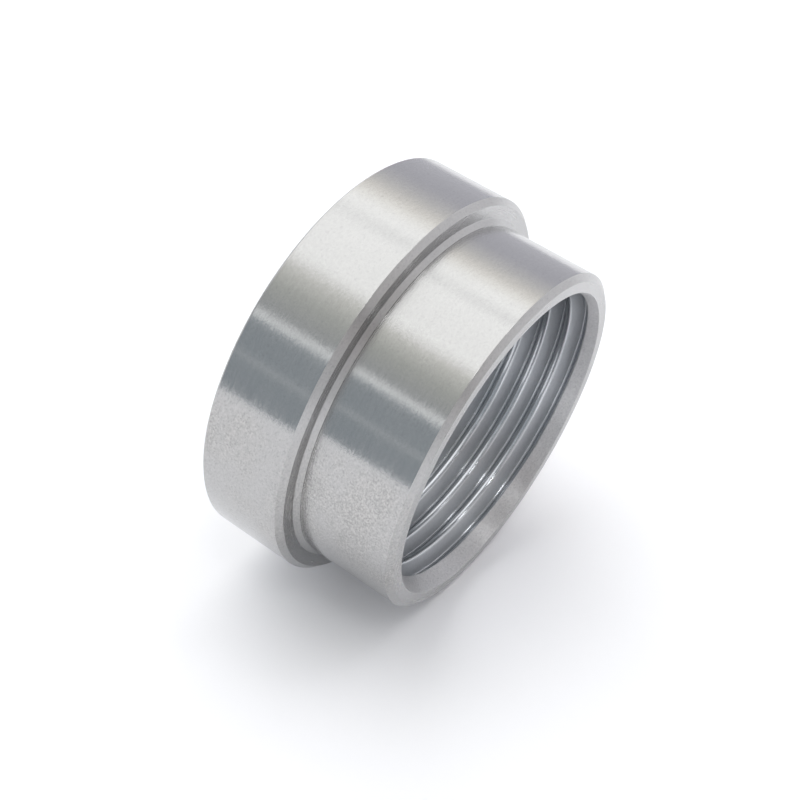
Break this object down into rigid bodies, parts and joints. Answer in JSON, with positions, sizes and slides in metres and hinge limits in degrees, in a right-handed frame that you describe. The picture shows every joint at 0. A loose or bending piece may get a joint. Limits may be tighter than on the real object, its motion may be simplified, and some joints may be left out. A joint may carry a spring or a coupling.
{
  "type": "weld-on threaded bung",
  "caption": "Turned weld-on bung: stepped ring with a wide weld flange, a smaller spigot, bevelled rims and a countersunk female pipe thread right through.",
  "frame": {"origin": "centre of the bore at the flange's end face, which is also the bottom centre of the bounding box", "axes": "+Z along the bore, from the flange's end face towards the spigot's nose; the part is round, so X and Y are free"},
  "size_m": [0.04, 0.04, 0.0194],
  "materials": {
    "turned_steel": "fine turned satin, stainless steel"
  },
  "bodies": {
    "root": {"bung": "turned_steel"}
  },
  "joints": []
}
